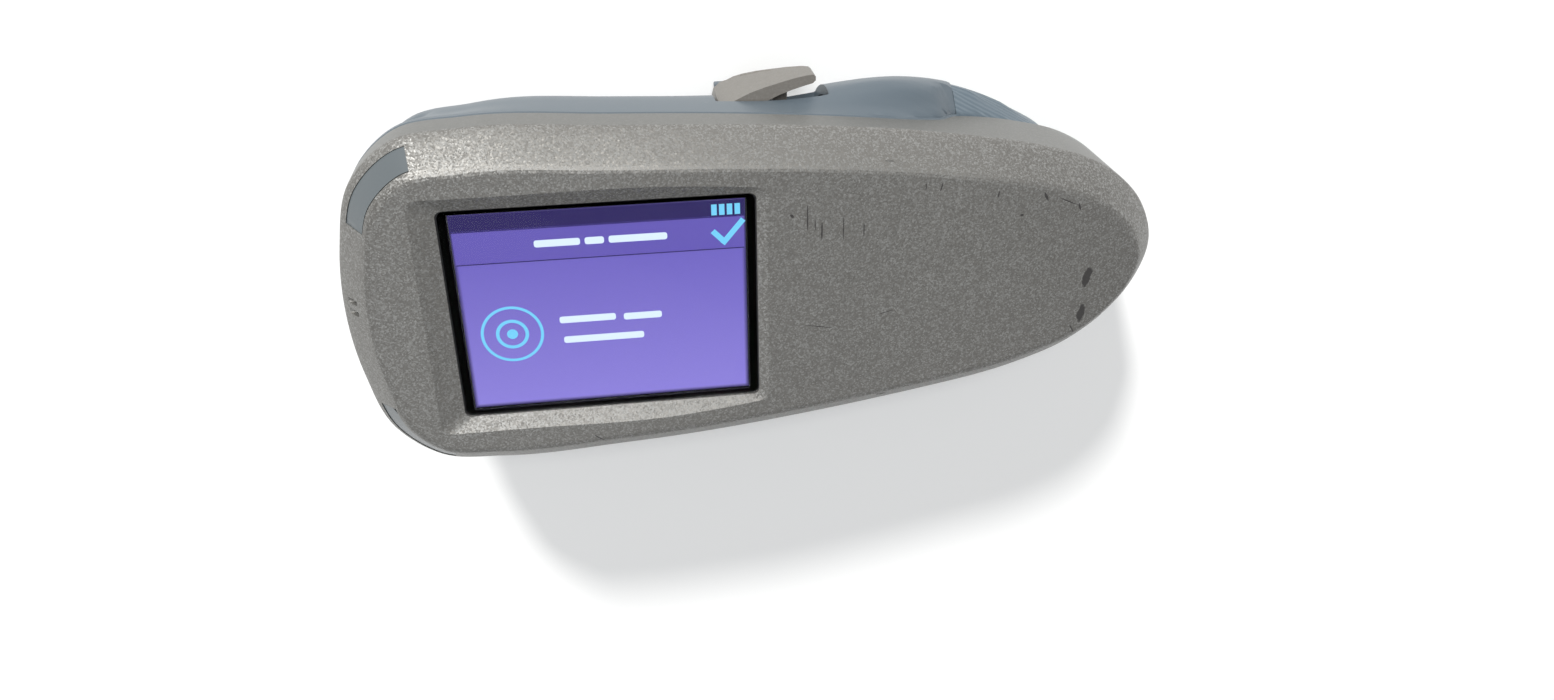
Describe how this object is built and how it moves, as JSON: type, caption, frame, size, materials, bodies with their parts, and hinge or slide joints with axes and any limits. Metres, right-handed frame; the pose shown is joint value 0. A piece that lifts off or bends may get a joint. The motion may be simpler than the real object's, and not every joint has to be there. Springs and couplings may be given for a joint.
{
  "type": "microchip scanner",
  "caption": "Hand-held animal microchip scanner: wide antenna head with a colour display, side trigger, tapered grip and a battery cover at the tail",
  "frame": {"origin": "on the table, at the middle of the head pad's underside, under the middle of the display", "axes": "+X from the nose to the tail tip, +Y to the trigger side, +Z out of the display"},
  "size_m": [0.1746, 0.077, 0.0471],
  "materials": {
    "front_paint": "warm grey paint with a fine metallic sparkle",
    "back_plastic": "smooth blue-grey",
    "trigger_paint": "smooth tan-grey paint",
    "light_lens": "smoked grey lens",
    "window_glass": "clear, with a dark printed edge",
    "display_glass": "lit violet display",
    "black_rubber": "matt black",
    "bright_steel": "bright plated steel",
    "dark_steel": "dark screws",
    "amber_film": "amber flexible film",
    "board_green": "green lacquered board",
    "cream_plastic": "cream",
    "black_plastic": "black moulded plastic",
    "copper_wire": "lacquered copper winding",
    "cell_sleeve": "plain dark sleeve"
  },
  "bodies": {
    "housing": {"front_shell": "front_paint", "status_light_left": "light_lens", "status_light_right": "light_lens", "display_window": "window_glass", "display_gasket": "black_rubber", "lcd_panel": "display_glass", "lcd_backlight": "bright_steel", "display_ribbon": "amber_film", "main_board": "board_green", "ribbon_socket": "cream_plastic", "processor_chip": "black_plastic", "memory_chip": "black_plastic", "board_connector": "black_plastic", "status_led_left": "cream_plastic", "status_led_right": "cream_plastic", "buzzer": "black_plastic", "back_shell": "back_plastic", "reader_board": "board_green", "reader_chip": "black_plastic", "antenna_bobbin": "cream_plastic", "antenna_coil": "copper_wire", "trigger_pin": "bright_steel", "trigger_switch": "black_plastic", "switch_board": "board_green", "battery_tray": "black_plastic", "contact_plate": "bright_steel", "contact_spring_left": "bright_steel", "contact_spring_right": "bright_steel", "cell_left": "cell_sleeve", "cell_right": "cell_sleeve", "screw_nose_left": "dark_steel", "screw_nose_right": "dark_steel", "screw_grip_left": "dark_steel", "screw_grip_right": "dark_steel", "pad_nose": "black_rubber", "pad_head": "black_rubber", "pad_grip": "black_rubber"},
    "trigger": {"trigger": "trigger_paint", "trigger_spring": "bright_steel"},
    "plunger": {"switch_plunger": "cream_plastic"},
    "cover": {"battery_cover": "back_plastic", "cover_contact": "bright_steel"}
  },
  "joints": [
    {"name": "trigger_press", "type": "hinge", "parent": "housing", "child": "trigger", "pos_m": [0.0295, 0.0314, 0.0158], "axis": [0, 0, -1], "range_deg": [0, 10], "stiffness_Nm_per_rad": 0.1, "springref_deg": -8.59},
    {"name": "plunger_travel", "type": "slide", "parent": "housing", "child": "plunger", "axis": [0, -1, 0], "range_m": [0, 0.0019]},
    {"name": "cover_slide", "type": "slide", "parent": "housing", "child": "cover", "axis": [0.9397, 0, -0.342], "range_m": [0, 0.05]}
  ],
  "couplings": [
    {"joint": "plunger_travel", "follows": "trigger_press", "m_per_rad": 0.0105}
  ]
}
